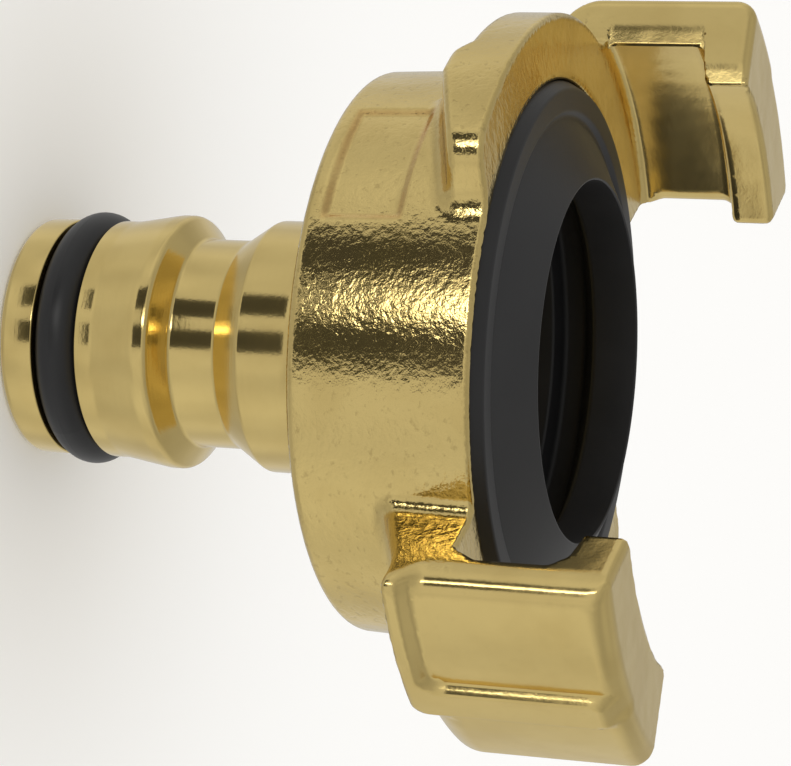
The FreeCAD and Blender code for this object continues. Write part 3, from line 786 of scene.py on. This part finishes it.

# How strongly pits, wear and the painted shade along the sunk field's edges show
CLAW_SMOOTHING = 0.85
TARNISH_RANGE = (0.35, 0.75)
PIT_RANGE = (0.42, 0.28)
PIT_SHARE = 0.3
FIELD_EDGE_SHADE_WIDTH = MARK_EDGE * 0.6
FIELD_EDGE_SHADE_STRENGTH = 0.9
BRASS_ROUGHNESS, CLAW_ROUGHNESS, WORN_ROUGHNESS = 0.12, 0.05, 0.03


def brass_places(nodes, radius, height):
    """Shares of 1 for the forged skin, the smoother claws, the brushed face, pits and turned parts."""
    skin = nodes.times(nodes.between_mm(radius, *SKIN_RADII), nodes.between_mm(height, *SKIN_HEIGHTS))
    beyond = nodes.between_mm(radius, *CLAW_RADII)
    claw = nodes.math("MAXIMUM", beyond, nodes.between_mm(height, *CLAW_HEIGHTS))
    at_face = nodes.times(nodes.between_mm(height, *FACE_START), nodes.between_mm(height, *FACE_END))
    face = nodes.times(at_face, nodes.math("MAXIMUM", nodes.between_mm(radius, *FACE_EDGE), beyond))
    pitted = nodes.times(skin, nodes.minus(1.0, nodes.times(claw, CLAW_SMOOTHING)))
    pitted = nodes.times(pitted, nodes.minus(1.0, face))
    turned = nodes.minus(1.0, nodes.between_mm(height, *TURNED_END))
    return {"skin": skin, "claw": claw, "face": face, "pitted": pitted, "turned": turned}


def brass_height(nodes, place, radius, height, peel, places):
    """Unevenness: peel and waves on the forged skin, fine grain, and lines on what was turned."""
    peeled = nodes.times(nodes.times(peel, places["pitted"]), PEEL_HEIGHT)
    waves = nodes.times(nodes.noise(place, *WAVE_NOISE), places["skin"])
    total = nodes.plus(peeled, nodes.times(waves, WAVE_HEIGHT))
    grain = nodes.noise(place, *GRAIN_NOISE)
    total = nodes.plus(total, nodes.times(grain, GRAIN_HEIGHT))
    rings = nodes.add("ShaderNodeCombineXYZ", {"X": radius, "Z": height}).outputs["Vector"]
    turning = nodes.noise(rings, *TURNING_NOISE)
    turned = nodes.times(places["turned"], TURNING_HEIGHT)
    faced = nodes.times(places["face"], FACING_HEIGHT)
    return nodes.plus(total, nodes.times(turning, nodes.plus(turned, faced)))


def painted_field_edge_shade(nodes, axes, tarnish):
    """Share of painted shade: a brown laid along the edges of the sunk field, patchy with the tarnish
    noise.
    """
    across = nodes.minus(nodes.math("ABSOLUTE", axes["X"]), (MARK_HALF_WIDTH + MARK_EDGE / 2) * MM)
    upward = nodes.minus(axes["Z"], (MARK_LOW + MARK_HIGH) / 2 * MM)
    half_height = (MARK_HIGH - MARK_LOW + MARK_EDGE) / 2 * MM
    upward = nodes.minus(nodes.math("ABSOLUTE", upward), half_height)
    beside = nodes.math("ABSOLUTE", nodes.math("MAXIMUM", across, upward))
    edge_shade = nodes.between_mm(beside, FIELD_EDGE_SHADE_WIDTH, 0.0)
    edge_shade = nodes.times(edge_shade, nodes.between_mm(axes["Y"], *FIELD_EDGE_SHADE_SIDE))
    return nodes.times(edge_shade, nodes.times(tarnish, FIELD_EDGE_SHADE_STRENGTH))


def brass():
    """A pitted forged skin on the body, satin claws, and fine turning lines on nipple and face."""
    material = bpy.data.materials.new("brass")
    nodes = Nodes(material)
    place = nodes.place()
    axes = nodes.axes(place)
    flat = nodes.add("ShaderNodeCombineXYZ", {"X": axes["X"], "Y": axes["Y"]}).outputs["Vector"]
    radius = nodes.add("ShaderNodeVectorMath", {0: flat}, operation="LENGTH").outputs["Value"]
    places = brass_places(nodes, radius, axes["Z"])

    mapping = {"Vector": place, "Rotation": PEEL_TURN, "Scale": PEEL_STRETCH}
    slanted = nodes.add("ShaderNodeMapping", mapping).outputs["Vector"]
    peel = nodes.noise(slanted, *PEEL_NOISE)
    height = brass_height(nodes, place, radius, axes["Z"], peel, places)
    bump = {"Strength": 1.0, "Distance": BUMP_HEIGHT * MM, "Height": height}
    normal = nodes.add("ShaderNodeBump", bump).outputs["Normal"]

    tarnish = nodes.noise(place, *TARNISH_NOISE)
    worn = nodes.between(tarnish, *TARNISH_RANGE)
    pits = nodes.times(nodes.between(peel, *PIT_RANGE), places["pitted"])
    colour = nodes.tint(worn, NEW_BRASS, WORN_BRASS)
    colour = nodes.tint(nodes.times(pits, PIT_SHARE), colour, PIT_COLOUR)
    # Painted shade: brown along the sunk field's edges, patchy with the tarnish noise
    colour = nodes.tint(painted_field_edge_shade(nodes, axes, tarnish), colour, FIELD_EDGE_SHADE_COLOUR)
    rough = nodes.plus(BRASS_ROUGHNESS, nodes.times(places["claw"], CLAW_ROUGHNESS))
    rough = nodes.plus(rough, nodes.times(worn, WORN_ROUGHNESS))
    nodes.surface({"Base Color": colour, "Metallic": 1.0, "Roughness": rough, "Normal": normal})
    return material


# Rubber
RUBBER_DARK = (0.009, 0.009, 0.010, 1)
RUBBER_LIGHT = (0.015, 0.015, 0.016, 1)
RUBBER_GRAIN_NOISE = (5000.0, 2.0)
RUBBER_CLOUD_NOISE = (300.0, 3.0)
RUBBER_BUMP = {"Strength": 0.6, "Distance": 0.006 * MM}
RUBBER_CLOUD_ROUGHNESS = 0.08
SEAL_ROUGHNESS = 0.42
RING_ROUGHNESS = 0.36


def rubber(name, roughness):
    """Black moulded rubber with a fine matt skin."""
    material = bpy.data.materials.new(name)
    nodes = Nodes(material)
    place = nodes.place()
    grain = nodes.noise(place, *RUBBER_GRAIN_NOISE)
    clouds = nodes.noise(place, *RUBBER_CLOUD_NOISE)
    colour = nodes.tint(clouds, RUBBER_DARK, RUBBER_LIGHT)
    rough = nodes.plus(roughness, nodes.times(clouds, RUBBER_CLOUD_ROUGHNESS))
    normal = nodes.add("ShaderNodeBump", {**RUBBER_BUMP, "Height": grain}).outputs["Normal"]
    nodes.surface({"Base Color": colour, "Roughness": rough, "Normal": normal})
    return material


def paint(node, material):
    """Gives a node of the frame its material, where its own solid is shown."""
    mesh = frame["nodes"][node].data
    mesh.materials.clear()
    mesh.materials.append(material)


make_camera()
make_studio()
make_floor()
bpy.context.scene.view_settings.view_transform = "Standard"
make_body(brass())
make_seal(rubber("seal_rubber", SEAL_ROUGHNESS))
paint("plug_o_ring", rubber("ring_rubber", RING_ROUGHNESS))
